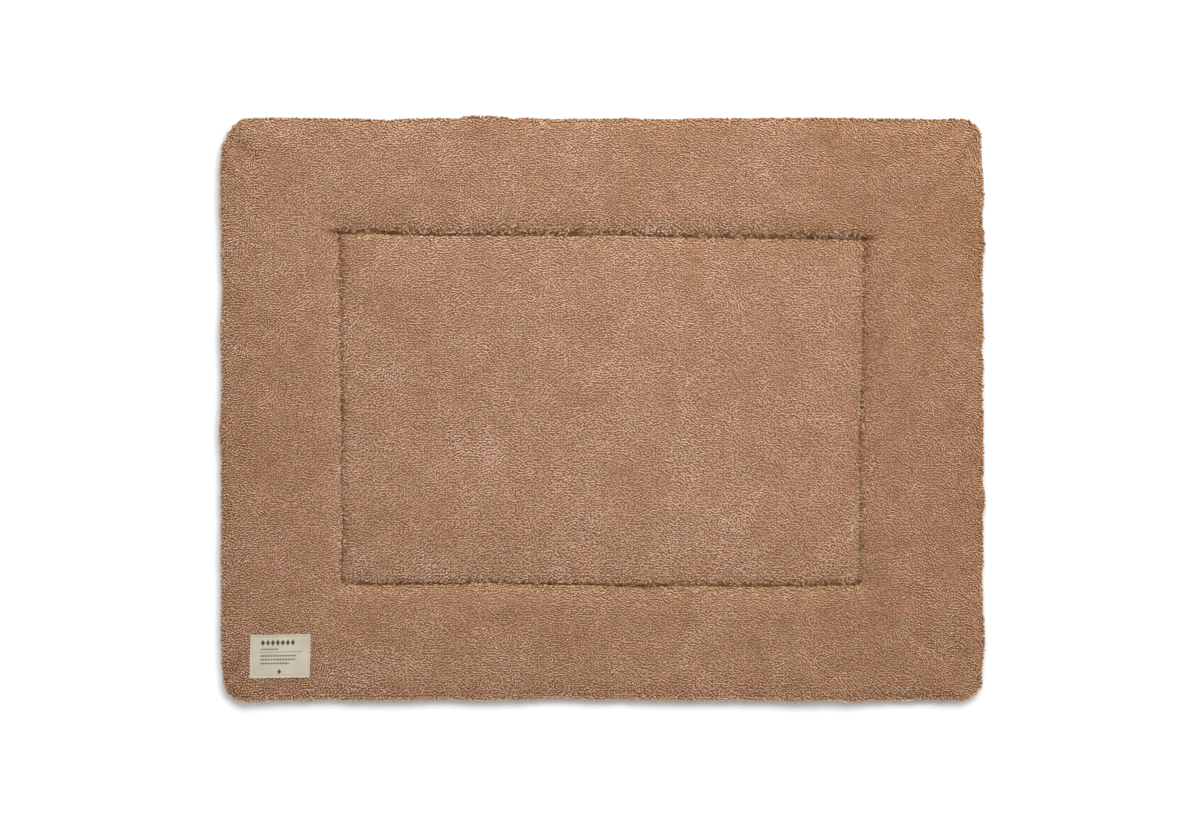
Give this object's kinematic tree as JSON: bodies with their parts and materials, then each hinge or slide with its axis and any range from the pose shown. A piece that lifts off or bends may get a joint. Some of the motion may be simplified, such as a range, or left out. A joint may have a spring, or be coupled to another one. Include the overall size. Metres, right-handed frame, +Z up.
{
  "type": "padded playpen mat",
  "caption": "Flat padded mat of curly pile cloth: a puffy border round a puffy centre, parted by a stitched rectangle, with a small cotton label near one corner.",
  "frame": {"origin": "middle of the mat's box, on the plane that it lies on", "axes": "+Z up out of the mat's top, +X along the long side, +Y along the short side away from the label"},
  "size_m": [0.9532, 0.7304, 0.0267],
  "materials": {
    "pile_cloth": "short curly pile, matt with a soft sheen",
    "label_cotton": "flat woven cotton tape, matt"
  },
  "bodies": {
    "root": {"padded_mat": "pile_cloth", "sewn_label": "label_cotton"}
  },
  "joints": []
}
